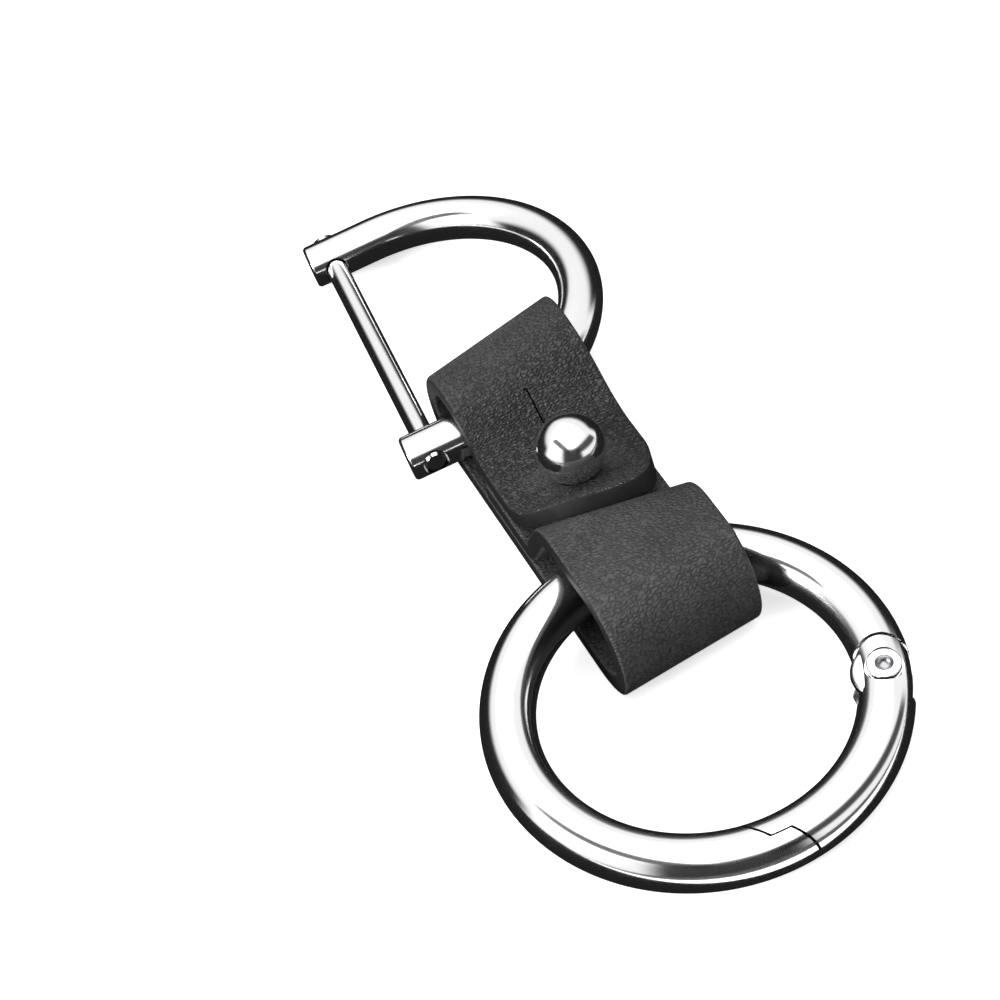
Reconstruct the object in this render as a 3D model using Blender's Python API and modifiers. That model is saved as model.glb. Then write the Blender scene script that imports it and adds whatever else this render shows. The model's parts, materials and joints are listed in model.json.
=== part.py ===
"""Leather keychain: a folded strap snapped on a ball stud, with a screw-pin shackle and a spring gate ring.

Lengths below are millimetres and are scaled by MM to metres. The strap lies along X, from the shackle
to the ring, with the stud over x = 0 of the strap's own frame. The whole part stands on z = 0.
"""

from math import acos, asin, atan2, cos, degrees, pi, radians, sin, sqrt, tan

import bmesh
import bpy
import numpy as np
from mathutils import Matrix, Vector

MM = 0.001

# Clearances
SEAT_GAP = 0.2
RUN_GAP = 0.15
LAYER_GAP = 0.1
CUT_OVERRUN = 1.0

# Leather strap
STRAP_WIDTH = 13.0
LEATHER = 1.8
EDGE_ROUND = 0.3
TAB_TIP_X = 5.6
TAB_TIP_LIFT = 2.3
TAB_LIFT_X = 0.0
TAB_TIP_EASE = 0.55
TAB_END_DEPTH = 5.7
TAB_END_POWER = 2.0
TAB_END_LIMIT = 0.9985
TAB_DROP_HANDLES = (6.2, 5.5)
TAB_FLAT_X = -2.5
STRAP_END_X = -5.2
TAB_SPLIT_X = -11.5
TAB_SPLIT_GAP = 0.12
SLIT_START_X = -9.0
SLIT_WIDTH = 0.4
SLIT_TICK = 1.2

# Loop round the shackle rod
UPPER_LOOP_X = -13.4
UPPER_LOOP_ROOM = 6.1
UPPER_LEAN = -0.245
UPPER_LEAN_X = (-11.0, -5.0)

# Loop round the ring rod, with the ramp that the middle layer climbs to it
LOWER_LOOP_X = 15.9
LOWER_LOOP_ROOM = 6.7
SHOULDER_X = 11.3
SHOULDER_BEND = 3.9
RAMP_ANGLE = 54.0
FOOT_BEND = 2.5
RAMP_LEAN = 0.2
RAMP_LEAN_X = (2.0, 5.0, 12.0)
FOLD_LEAN = -0.1
FOLD_LEAN_X = 19.5

# Ball stud and its screw
BALL_DIAMETER = 6.0
NECK_DIAMETER = 3.4
FLANGE_DIAMETER = 6.4
FLANGE_THICKNESS = 0.5
FLANGE_RECESS = 0.35
BALL_SINK = 0.35
SCREW_HEAD_DIAMETER = 7.0
SCREW_HEAD_THICKNESS = 0.6
SCREW_RECESS = 0.85
SCREW_SHANK_DIAMETER = 2.0
SCREW_REACH = 5.2
SCREW_SLOT = (0.7, 0.35)
TURNED_EASE = 0.2

# Spring gate ring
RING_INNER_DIAMETER = 25.0
RING_ROD = 4.5
RING_SIDE_SHIFT = -2.4
RING_X = 25.4
RING_LIFT = 0.8
RING_AXIS_RISE = 0.35
RIVET_ANGLE = 66.0
LAP_ANGLES = (1.0, -5.5)
LAP_STEP = 0.3
LAP_REACH = 4.0
LAP_DRAFT = 2.0
LAP_OUTER_ANGLE = 14.0
CHEEK_RADIUS = 2.7
CHEEK_SETBACK = 0.45
FORK_ROOM = 0.6
TONGUE_RADIUS = 1.9
TONGUE_THICKNESS = 1.5
TONGUE_ROOT_ANGLE = 20.0
RIVET_SHANK = 1.4
RIVET_HEAD = 2.8
RIVET_HEAD_THICKNESS = 0.35
RIVET_DISH = (1.3, 0.15)
RIVET_EASE = 0.15
RIVET_PROUD = 0.1
SPRING_BORE = 1.7
SPRING_BORE_DEPTH = 4.6
SPRING_WIRE = 0.3
SPRING_TURNS = 3
PLUNGER_LENGTH = 1.6
PLUNGER_PROUD = 0.25

# Shackle
SHACKLE_INNER_WIDTH = 26.0
SHACKLE_ROD = 4.0
SHACKLE_ARM = 6.1
SHACKLE_END_ROUND = 0.35
SHACKLE_X = -26.2
SHACKLE_SIDE_SHIFT = -3.4
SHACKLE_YAW = 84.5
SHACKLE_ROLL = 5.0
SHACKLE_LIFT = 0.7
SHACKLE_AXIS_RISE = 0.5
PIN_DIAMETER = 2.0
PIN_FROM_END = 2.15
PIN_HEAD_DIAMETER = 3.0
PIN_HEAD_LENGTH = 1.2
PIN_SLOT = (0.5, 0.5)
PIN_INSET = 0.1

# Facets
STRIP_COLUMNS = 6
DROP_STEPS = 24
FOLD_STEPS = 16
FLOOR_STEPS = 16
BEND_STEPS = 8
RUN_STEPS = 4
END_STEPS = 12
HORSESHOE_STEPS = 44
ROD_SIDES = 20
RING_STEPS = 96
LAP_STEPS = 4
GATE_ARC_STEPS = 18
TURN_POINTS = 10
BALL_STEPS = 14
TURNED_STEPS = 30
SMALL_STEPS = 24
WIRE_SIDES = 6
SHARP_ANGLE = 35.0
EDGE_ANGLE = 50.0
WELD = 0.001

RING_RADIUS = (RING_INNER_DIAMETER + RING_ROD) / 2
SHACKLE_RADIUS = (SHACKLE_INNER_WIDTH + SHACKLE_ROD) / 2
BOTTOM_Z = LEATHER / 2
MIDDLE_Z = BOTTOM_Z + LEATHER + LAYER_GAP
MIDDLE_TOP = MIDDLE_Z + LEATHER / 2
FLANGE_TOP = MIDDLE_TOP - FLANGE_RECESS + SEAT_GAP + FLANGE_THICKNESS
TAB_Z = FLANGE_TOP + SEAT_GAP + LEATHER / 2
BALL_Z = TAB_Z + LEATHER / 2 + BALL_DIAMETER / 2 - BALL_SINK
UPPER_BEND = (UPPER_LOOP_ROOM + LEATHER) / 2
LOWER_BEND = (LOWER_LOOP_ROOM + LEATHER) / 2
RING_NEAR_Z = LEATHER + RING_LIFT + RING_ROD / 2
SHACKLE_NEAR_Z = LEATHER + SHACKLE_LIFT + SHACKLE_ROD / 2
RING_TILT = asin((RING_NEAR_Z - RING_ROD / 2) / (2 * RING_RADIUS))
SHACKLE_RISE = (SHACKLE_ARM - SHACKLE_SIDE_SHIFT) * sin(radians(SHACKLE_ROLL))
SHACKLE_TILT = asin((SHACKLE_NEAR_Z - SHACKLE_ROD / 2 - SHACKLE_RISE) / (2 * SHACKLE_RADIUS))
SHACKLE_END_DROP = SHACKLE_ARM * (
    sin(radians(SHACKLE_ROLL)) + sin(radians(90 - SHACKLE_YAW)) * sin(SHACKLE_TILT)
) + SHACKLE_RADIUS * sin(SHACKLE_TILT)


def clear_scene():
    for obj in list(bpy.data.objects):
        bpy.data.objects.remove(obj, do_unlink=True)


def new_collection(name):
    made = bpy.data.collections.new(name)
    bpy.context.scene.collection.children.link(made)
    return made


def new_material(name, colour, roughness, metallic):
    made = bpy.data.materials.new(name)
    made.use_nodes = True
    shader = made.node_tree.nodes["Principled BSDF"]
    shader.inputs["Base Color"].default_value = (*colour, 1.0)
    shader.inputs["Roughness"].default_value = roughness
    shader.inputs["Metallic"].default_value = metallic
    made.diffuse_color = (*colour, 1.0)
    return made


def new_frame(name, location, rotation=None, parent=None):
    frame = bpy.data.objects.new(name, None)
    frame.empty_display_size = 4 * MM
    parts.objects.link(frame)
    frame.parent = parent
    turn = rotation.to_4x4() if rotation else Matrix.Identity(4)
    frame.matrix_local = Matrix.Translation(Vector(location) * MM) @ turn
    return frame


def add_object(name, mesh, frame, material=None):
    obj = bpy.data.objects.new(name, mesh)
    obj.parent = frame
    if material is None:
        cutters.objects.link(obj)
        obj.hide_render = True
        obj.display_type = "WIRE"
    else:
        parts.objects.link(obj)
        mesh.materials.clear()
        mesh.materials.append(material)
    return obj


def mesh_from(shape, name, smooth_below=SHARP_ANGLE):
    bmesh.ops.recalc_face_normals(shape, faces=shape.faces)
    mesh = bpy.data.meshes.new(name)
    shape.to_mesh(mesh)
    shape.free()
    mesh.shade_smooth()
    mesh.set_sharp_from_angle(angle=radians(smooth_below))
    return mesh


def cylinder(radius, low, high, centre=(0.0, 0.0), steps=TURNED_STEPS):
    shape = bmesh.new()
    place = Matrix.Translation(Vector((centre[0], centre[1], (low + high) / 2)) * MM)
    bmesh.ops.create_cone(
        shape,
        cap_ends=True,
        segments=steps,
        radius1=radius * MM,
        radius2=radius * MM,
        depth=(high - low) * MM,
        matrix=place,
    )
    return shape


def block(size, centre, turn=None):
    shape = bmesh.new()
    bmesh.ops.create_cube(shape, size=MM)
    bmesh.ops.scale(shape, vec=Vector(size), verts=shape.verts)
    if turn is not None:
        bmesh.ops.rotate(shape, cent=(0, 0, 0), matrix=turn, verts=shape.verts)
    bmesh.ops.translate(shape, vec=Vector(centre) * MM, verts=shape.verts)
    return shape


def new_curve(name, route, closed):
    """An object with one open or closed line of straight steps through the route's points."""
    curve = bpy.data.curves.new(name, "CURVE")
    spline = curve.splines.new("POLY")
    spline.points.add(len(route) - 1)
    for point, place in zip(spline.points, route):
        point.co = (*(Vector(place).to_3d() * MM), 1.0)
    spline.use_cyclic_u = closed
    guide = bpy.data.objects.new(name + "_guide", curve)
    bpy.context.scene.collection.objects.link(guide)
    return guide


def welded(guide):
    """The solid that a curve object gives, with its caps welded on. The curve is removed."""
    graph = bpy.context.evaluated_depsgraph_get()
    mesh = bpy.data.meshes.new_from_object(guide.evaluated_get(graph))
    bpy.data.objects.remove(guide, do_unlink=True)
    shape = bmesh.new()
    shape.from_mesh(mesh)
    bmesh.ops.remove_doubles(shape, verts=shape.verts, dist=WELD * MM)
    bpy.data.meshes.remove(mesh)
    return shape


def plate(outline, half):
    """A flat outline in XY, listed once round, as thick as half above and half below z = 0."""
    guide = new_curve("plate", outline, True)
    guide.data.dimensions = "2D"
    guide.data.fill_mode = "BOTH"
    guide.data.extrude = half * MM
    return welded(guide)


def tube(route, diameter, sides):
    """A round bar along a route of points, with flat closed ends."""
    guide = new_curve("tube", route, False)
    guide.data.dimensions = "3D"
    guide.data.bevel_depth = diameter / 2 * MM
    guide.data.bevel_resolution = (sides - 4) // 2
    guide.data.use_fill_caps = True
    return welded(guide)


def turned(name, profile, frame, material, steps=TURNED_STEPS):
    """A solid of revolution about Z from an (r, z) profile that runs down its outer side."""
    mesh = bpy.data.meshes.new(name)
    pairs = [(i, i + 1) for i in range(len(profile) - 1)]
    mesh.from_pydata([(r * MM, 0, z * MM) for r, z in profile], pairs, [])
    obj = add_object(name, mesh, frame, material)
    lathe = obj.modifiers.new("lathe", "SCREW")
    lathe.steps = steps
    lathe.render_steps = steps
    lathe.use_merge_vertices = True
    lathe.merge_threshold = WELD * MM
    lathe.use_smooth_shade = True
    return obj


def combine(target, other, operation):
    modifier = target.modifiers.new(f"{operation.lower()} {other.name}", "BOOLEAN")
    modifier.operation = operation
    modifier.object = other


def polar(radius, angle):
    return (radius * cos(radians(angle)), radius * sin(radians(angle)))


def arc(centre, radius, start, end, steps):
    turn = (end - start) / steps
    return [
        (centre[0] + x, centre[1] + y)
        for x, y in (polar(radius, start + turn * i) for i in range(steps + 1))
    ]


def bezier(start, handle_a, handle_b, end, steps):
    made = []
    for i in range(steps + 1):
        t = i / steps
        u = 1 - t
        weights = (u**3, 3 * u * u * t, 3 * u * t * t, t**3)
        pairs = zip(weights, (start, handle_a, handle_b, end))
        made.append(tuple(map(sum, zip(*((w * p[0], w * p[1]) for w, p in pairs)))))
    return made


def straight(start, end, steps):
    return [
        tuple(a + (b - a) * i / steps for a, b in zip(start, end))
        for i in range(steps + 1)
    ]


def joined(*runs):
    """One route from runs that share their end points."""
    route = list(runs[0])
    for run in runs[1:]:
        route += run[1:]
    return route


def upper_top(x_offset=0.0):
    return (UPPER_LOOP_X + x_offset, BOTTOM_Z + 2 * UPPER_BEND)


def tab_drop():
    """The top layer from over the shackle rod down to the stud, as (x, z)."""
    over, into = TAB_DROP_HANDLES
    return bezier(
        upper_top(),
        upper_top(over),
        (TAB_FLAT_X - into, TAB_Z + LAYER_GAP),
        (TAB_FLAT_X, TAB_Z),
        DROP_STEPS,
    )


def split_at(route, x, gap):
    """The route cut at x with half of a gap taken off each side: (the part before, the part after).

    Points nearer to the cut than the eased edge are left out, so that the edge has room there.
    """
    xs, zs = zip(*route)
    low, high = x - gap / 2, x + gap / 2
    before = [p for p in route if p[0] < low - EDGE_ROUND] + [(low, float(np.interp(low, xs, zs)))]
    after = [(high, float(np.interp(high, xs, zs)))] + [p for p in route if p[0] > high + EDGE_ROUND]
    return before, after


def strap_route():
    """The strip under the tab: crest, upper fold, bottom layer, lower fold, middle layer."""
    crest = split_at(tab_drop(), TAB_SPLIT_X, TAB_SPLIT_GAP)[0]
    upper = arc((UPPER_LOOP_X, BOTTOM_Z + UPPER_BEND), UPPER_BEND, 90, 270, FOLD_STEPS)
    floor = straight((UPPER_LOOP_X, BOTTOM_Z), (LOWER_LOOP_X, BOTTOM_Z), FLOOR_STEPS)
    lower = arc((LOWER_LOOP_X, BOTTOM_Z + LOWER_BEND), LOWER_BEND, -90, 90, FOLD_STEPS)
    top = BOTTOM_Z + 2 * LOWER_BEND
    roof = straight((LOWER_LOOP_X, top), (SHOULDER_X, top), RUN_STEPS)
    shoulder = arc((SHOULDER_X, top - SHOULDER_BEND), SHOULDER_BEND, 90, 90 + RAMP_ANGLE, BEND_STEPS)
    fall = (SHOULDER_BEND + FOOT_BEND) * (1 - cos(radians(RAMP_ANGLE)))
    ramp_run = (top - MIDDLE_Z - fall) / tan(radians(RAMP_ANGLE))
    foot_x = shoulder[-1][0] - ramp_run - FOOT_BEND * sin(radians(RAMP_ANGLE))
    foot = arc((foot_x, MIDDLE_Z + FOOT_BEND), FOOT_BEND, RAMP_ANGLE - 90, -90, BEND_STEPS)
    ramp = straight(shoulder[-1], foot[0], RUN_STEPS)
    middle = straight((foot_x, MIDDLE_Z), (STRAP_END_X, MIDDLE_Z), 2 * RUN_STEPS)
    return joined(crest[::-1], upper, floor, lower, roof, shoulder, ramp, foot, middle)


def tab_route():
    drop = split_at(tab_drop(), TAB_SPLIT_X, TAB_SPLIT_GAP)[1]
    flat = straight((TAB_FLAT_X, TAB_Z), (TAB_LIFT_X, TAB_Z), RUN_STEPS)
    reach = TAB_TIP_X - TAB_LIFT_X
    end = bezier(
        (TAB_LIFT_X, TAB_Z),
        (TAB_LIFT_X + reach / 2, TAB_Z),
        (TAB_TIP_X - reach / 4, TAB_Z + TAB_TIP_LIFT * TAB_TIP_EASE),
        (TAB_TIP_X, TAB_Z + TAB_TIP_LIFT),
        END_STEPS,
    )
    return joined(drop, flat, end)


def half_width(x):
    """Half the strap's width: full, then drawn in round the tab's end, which stops just short of a point."""
    into_end = max(0.0, x - (TAB_TIP_X - TAB_END_DEPTH)) / TAB_END_DEPTH
    into_end = min(into_end, TAB_END_LIMIT)
    return STRAP_WIDTH / 2 * (1 - into_end**TAB_END_POWER) ** (1 / TAB_END_POWER)


def leaned(x, y):
    """The folds don't lie quite square across the strap: each leans with the rod that it wraps."""
    stations = (*UPPER_LEAN_X, *RAMP_LEAN_X, FOLD_LEAN_X)
    leans = (UPPER_LEAN, 0.0, 0.0, RAMP_LEAN, RAMP_LEAN, FOLD_LEAN)
    return x + y * float(np.interp(x, stations, leans))


def leather_strip(name, route, round_end, frame):
    """A strip of leather along an (x, z) route: a sheet given its thickness, with eased edges."""
    shape = bmesh.new()
    last = len(route) - 1
    bmesh.ops.create_grid(shape, x_segments=last, y_segments=STRIP_COLUMNS, size=0.5)
    for vert in shape.verts:
        x, z = route[round((vert.co.x + 0.5) * last)]
        reach = half_width(x) if round_end else STRAP_WIDTH / 2
        y = 2 * vert.co.y * reach
        vert.co = Vector((leaned(x, y), y, z)) * MM
    obj = add_object(name, mesh_from(shape, name, EDGE_ANGLE), frame, leather)
    skin = obj.modifiers.new("thickness", "SOLIDIFY")
    skin.thickness = LEATHER * MM
    skin.offset = 0
    edge = obj.modifiers.new("eased edges", "BEVEL")
    edge.width = EDGE_ROUND * MM
    edge.segments = 2
    edge.limit_method = "ANGLE"
    edge.angle_limit = radians(EDGE_ANGLE)
    return obj


def make_strap(frame):
    strap = leather_strip("strap", strap_route(), False, frame)
    hole = cylinder(NECK_DIAMETER / 2 + SEAT_GAP, -CUT_OVERRUN, TAB_Z - LEATHER / 2)
    combine(strap, add_object("strap_hole", mesh_from(hole, "strap_hole"), frame), "DIFFERENCE")
    recess = cylinder(SCREW_HEAD_DIAMETER / 2 + SEAT_GAP, -CUT_OVERRUN, SCREW_RECESS)
    combine(strap, add_object("screw_recess", mesh_from(recess, "screw_recess"), frame), "DIFFERENCE")
    seat = cylinder(FLANGE_DIAMETER / 2 + SEAT_GAP, MIDDLE_TOP - FLANGE_RECESS, TAB_Z - LEATHER / 2)
    combine(strap, add_object("flange_seat", mesh_from(seat, "flange_seat"), frame), "DIFFERENCE")
    return strap


def make_tab(frame):
    tab = leather_strip("strap_tab", tab_route(), True, frame)
    hole = cylinder(NECK_DIAMETER / 2 + SEAT_GAP, FLANGE_TOP, BALL_Z)
    low, high = TAB_Z - LEATHER, upper_top()[1] + LEATHER
    slit = block(
        (-SLIT_START_X, SLIT_WIDTH, high - low),
        (SLIT_START_X / 2, 0, (low + high) / 2),
    )
    tick = block(
        (SLIT_WIDTH, SLIT_TICK, high - low),
        (SLIT_START_X, 0, (low + high) / 2),
    )
    combine(tab, add_object("tab_hole", mesh_from(hole, "tab_hole"), frame), "DIFFERENCE")
    combine(tab, add_object("tab_slit", mesh_from(slit, "tab_slit"), frame), "DIFFERENCE")
    combine(tab, add_object("tab_slit_end", mesh_from(tick, "tab_slit_end"), frame), "DIFFERENCE")
    return tab


def make_stud(frame):
    """Ball, neck, flange and threaded barrel, bored from below for the screw."""
    ball = BALL_DIAMETER / 2
    neck = NECK_DIAMETER / 2
    meet = degrees(acos(neck / ball))
    profile = [
        polar(ball, 90 - (90 + meet) * i / BALL_STEPS) for i in range(BALL_STEPS + 1)
    ]
    profile = [(max(r, 0.0), z + BALL_Z) for r, z in profile]
    barrel_low = SCREW_RECESS + SEAT_GAP
    bore = SCREW_SHANK_DIAMETER / 2 + RUN_GAP
    bore_top = SCREW_RECESS + SCREW_REACH + SEAT_GAP
    profile += [
        (neck, FLANGE_TOP),
        (FLANGE_DIAMETER / 2, FLANGE_TOP),
        (FLANGE_DIAMETER / 2, FLANGE_TOP - FLANGE_THICKNESS),
        (neck, FLANGE_TOP - FLANGE_THICKNESS),
        (neck, barrel_low),
        (bore, barrel_low),
        (bore, bore_top),
        (0.0, bore_top),
    ]
    return turned("ball_stud", profile, frame, chrome)


def make_stud_screw(frame):
    head = SCREW_HEAD_DIAMETER / 2
    shank = SCREW_SHANK_DIAMETER / 2
    top = SCREW_RECESS - SEAT_GAP / 2
    low = top - SCREW_HEAD_THICKNESS
    profile = [
        (0.0, SCREW_RECESS + SCREW_REACH),
        (shank - TURNED_EASE, SCREW_RECESS + SCREW_REACH),
        (shank, SCREW_RECESS + SCREW_REACH - TURNED_EASE),
        (shank, top),
        (head, top),
        (head, low + TURNED_EASE),
        (head - TURNED_EASE, low),
        (0.0, low),
    ]
    screw = turned("stud_screw", profile, frame, chrome)
    width, depth = SCREW_SLOT
    slot = block(
        (SCREW_HEAD_DIAMETER + CUT_OVERRUN, width, 2 * depth), (0, 0, low)
    )
    combine(screw, add_object("screw_slot", mesh_from(slot, "screw_slot"), frame), "DIFFERENCE")
    return screw


def torus(name, frame):
    """The ring's rod as a full torus about the frame's Z."""
    bpy.ops.mesh.primitive_torus_add(
        major_segments=RING_STEPS,
        minor_segments=ROD_SIDES,
        major_radius=RING_RADIUS * MM,
        minor_radius=RING_ROD / 2 * MM,
    )
    made = bpy.context.object
    mesh = made.data
    bpy.data.objects.remove(made, do_unlink=True)
    mesh.name = name
    mesh.shade_smooth()
    return add_object(name, mesh, frame, chrome)


def release_point(corner, reach):
    """From a corner of the lap, the point that a face reaches when it lies along the gate's swing."""
    pivot = Vector(polar(RING_RADIUS, RIVET_ANGLE))
    away = Vector(corner) - pivot
    inward = atan2(-away.x, away.y) + radians(LAP_DRAFT)
    return (corner[0] + reach * cos(inward), corner[1] + reach * sin(inward))


def gate_outline(spare):
    """The gate's plan: stepped lap, arc and round hinge end. spare widens it, for the body's cut."""
    inner = RING_INNER_DIAMETER / 2 - CUT_OVERRUN
    outer = RING_INNER_DIAMETER / 2 + RING_ROD + CUT_OVERRUN
    past = degrees(spare / RING_RADIUS)
    pivot = polar(RING_RADIUS, RIVET_ANGLE)
    first, last = LAP_ANGLES
    step = arc((0, 0), RING_RADIUS + LAP_STEP + spare, first - past, last - past, LAP_STEPS)
    outline = [release_point(step[0], -LAP_REACH), *step, release_point(step[-1], LAP_REACH)]
    outline += arc((0, 0), inner, 0, RIVET_ANGLE, GATE_ARC_STEPS)
    outline += arc(pivot, CHEEK_RADIUS + spare, RIVET_ANGLE + 180, RIVET_ANGLE, FOLD_STEPS)
    outline += arc((0, 0), outer, RIVET_ANGLE, LAP_OUTER_ANGLE, GATE_ARC_STEPS)
    return outline


def make_ring_body(frame):
    body = torus("ring_body", frame)
    cut = plate(gate_outline(RUN_GAP), RING_ROD)
    combine(body, add_object("gate_gap", mesh_from(cut, "gate_gap"), frame), "DIFFERENCE")
    pivot = polar(RING_RADIUS, RIVET_ANGLE)
    root = RIVET_ANGLE + TONGUE_ROOT_ANGLE
    outline = arc((0, 0), RING_RADIUS - TONGUE_RADIUS, root, RIVET_ANGLE, BEND_STEPS)
    outline += arc(pivot, TONGUE_RADIUS, RIVET_ANGLE - 180, RIVET_ANGLE, FOLD_STEPS)[1:-1]
    outline += arc((0, 0), RING_RADIUS + TONGUE_RADIUS, RIVET_ANGLE, root, BEND_STEPS)
    tongue = plate(outline, TONGUE_THICKNESS / 2)
    combine(body, add_object("tongue", mesh_from(tongue, "tongue"), frame), "UNION")
    hole = cylinder(RIVET_SHANK / 2 + RUN_GAP, -RING_ROD, RING_ROD, pivot, SMALL_STEPS)
    combine(body, add_object("tongue_hole", mesh_from(hole, "tongue_hole"), frame), "DIFFERENCE")
    return body


def make_gate(frame):
    """The sprung arm: its own length of the ring's rod, with a fork that straddles the tongue."""
    pivot = polar(RING_RADIUS, RIVET_ANGLE)
    gate = torus("ring_gate", frame)
    keep = plate(gate_outline(0.0), RING_ROD)
    combine(gate, add_object("gate_length", mesh_from(keep, "gate_length"), frame), "INTERSECT")
    cheek_half = RING_ROD / 2 - CHEEK_SETBACK
    lobes = cylinder(CHEEK_RADIUS, -cheek_half, cheek_half, pivot)
    combine(gate, add_object("gate_lobes", mesh_from(lobes, "gate_lobes"), frame), "UNION")
    floor = TONGUE_RADIUS + FORK_ROOM
    mouth = CHEEK_RADIUS + CUT_OVERRUN
    way = RIVET_ANGLE + 90
    middle = polar((mouth - floor) / 2, way)
    fork = block(
        (mouth + floor, 2 * mouth, TONGUE_THICKNESS + 2 * RUN_GAP),
        (pivot[0] + middle[0], pivot[1] + middle[1], 0),
        Matrix.Rotation(radians(way), 3, "Z"),
    )
    combine(gate, add_object("fork", mesh_from(fork, "fork"), frame), "DIFFERENCE")
    hole = cylinder(RIVET_SHANK / 2 + RUN_GAP, -RING_ROD, RING_ROD, pivot, SMALL_STEPS)
    combine(gate, add_object("gate_hole", mesh_from(hole, "gate_hole"), frame), "DIFFERENCE")
    return gate


def rivet_seat():
    return RING_ROD / 2 + RIVET_PROUD - RIVET_HEAD_THICKNESS


def make_rivet(frame, gate):
    head = RIVET_HEAD / 2
    shank = RIVET_SHANK / 2
    top = RING_ROD / 2 + RIVET_PROUD
    dish, depth = RIVET_DISH
    upper = [
        (0.0, top - depth),
        (dish / 2 - RIVET_EASE, top - depth),
        (dish / 2, top),
        (head - RIVET_EASE, top),
        (head, top - RIVET_EASE),
        (head, top - RIVET_HEAD_THICKNESS),
        (shank, top - RIVET_HEAD_THICKNESS),
    ]
    profile = upper + [(r, -z) for r, z in reversed(upper)]
    rivet = turned("gate_rivet", profile, frame, satin)
    seat = rivet_seat() - RUN_GAP
    for side in (1, -1):
        low, high = sorted((side * seat, side * RING_ROD))
        face = cylinder(head + RUN_GAP, low, high)
        name = f"rivet_seat_{'top' if side > 0 else 'bottom'}"
        combine(gate, add_object(name, mesh_from(face, name), frame), "DIFFERENCE")
    return rivet


def bore_line():
    """Mouth point and direction of the spring's bore, which runs into the gate from its fork."""
    pivot = Vector(polar(RING_RADIUS, RIVET_ANGLE))
    start = TONGUE_RADIUS + FORK_ROOM
    swept = degrees(2 * asin((start + SPRING_BORE_DEPTH) / (2 * RING_RADIUS)))
    end = Vector(polar(RING_RADIUS, RIVET_ANGLE - swept))
    way = (end - pivot).normalized()
    return pivot + way * start, way


def along_bore(distance):
    mouth, way = bore_line()
    place = mouth + way * distance
    return (place.x, place.y, 0.0)


def make_spring_and_plunger(frame, gate):
    """A coil spring in the gate's bore and the plunger that it holds against the tongue."""
    bore = tube([along_bore(-FORK_ROOM), along_bore(SPRING_BORE_DEPTH)], SPRING_BORE, ROD_SIDES)
    combine(gate, add_object("spring_bore", mesh_from(bore, "spring_bore"), frame), "DIFFERENCE")
    heel = PLUNGER_LENGTH - PLUNGER_PROUD
    shape = tube([along_bore(-PLUNGER_PROUD), along_bore(heel)], SPRING_BORE - 2 * RUN_GAP, ROD_SIDES)
    plunger = add_object("gate_plunger", mesh_from(shape, "gate_plunger"), frame, satin)
    first = heel + SPRING_WIRE / 2 + RUN_GAP
    last = SPRING_BORE_DEPTH - SPRING_WIRE / 2 - RUN_GAP
    way = bore_line()[1]
    side = Vector((-way.y, way.x, 0))
    up = Vector((0, 0, 1))
    coil = (SPRING_BORE - 2 * RUN_GAP - SPRING_WIRE) / 2
    count = TURN_POINTS * SPRING_TURNS
    route = []
    for i in range(count + 1):
        turn = 2 * pi * i / TURN_POINTS
        centre = Vector(along_bore(first + (last - first) * i / count))
        route.append(centre + coil * (cos(turn) * side + sin(turn) * up))
    least = min(
        (a - b).length
        for i, a in enumerate(route)
        for b in route[i + TURN_POINTS // 2:]
    )
    print("spring: least gap to itself", round(least - SPRING_WIRE, 3), "mm")
    shape = tube(route, SPRING_WIRE, WIRE_SIDES)
    spring = add_object("gate_spring", mesh_from(shape, "gate_spring"), frame, satin)
    return plunger, spring


def shackle_route():
    radius = SHACKLE_RADIUS
    bend = [(x, y, 0) for x, y in arc((0, 0), radius, 180, 0, HORSESHOE_STEPS)]
    left = straight((-radius, -SHACKLE_ARM, 0), (-radius, 0, 0), RUN_STEPS)
    right = straight((radius, 0, 0), (radius, -SHACKLE_ARM, 0), RUN_STEPS)
    return joined(left, bend, right)


def make_shackle(frame):
    """A round bar bent to a horseshoe. Its crown points along the frame's +Y."""
    shape = tube(shackle_route(), SHACKLE_ROD, ROD_SIDES)
    rims = [e for e in shape.edges if e.is_manifold and e.calc_face_angle() > radians(EDGE_ANGLE)]
    bmesh.ops.bevel(
        shape, geom=rims, offset=SHACKLE_END_ROUND * MM, segments=3, profile=0.5, affect="EDGES"
    )
    shackle = add_object("shackle_body", mesh_from(shape, "shackle_body"), frame, chrome)
    reach = SHACKLE_RADIUS + SHACKLE_ROD
    y = PIN_FROM_END - SHACKLE_ARM
    hole = tube([(-reach, y, 0), (reach, y, 0)], PIN_DIAMETER + 2 * RUN_GAP, ROD_SIDES)
    combine(shackle, add_object("pin_hole", mesh_from(hole, "pin_hole"), frame), "DIFFERENCE")
    seat = SHACKLE_RADIUS + SHACKLE_ROD / 2 - PIN_HEAD_LENGTH - RUN_GAP
    recess = tube([(-reach, y, 0), (-seat, y, 0)], PIN_HEAD_DIAMETER + 2 * RUN_GAP, SMALL_STEPS)
    combine(shackle, add_object("pin_seat", mesh_from(recess, "pin_seat"), frame), "DIFFERENCE")
    return shackle


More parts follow.
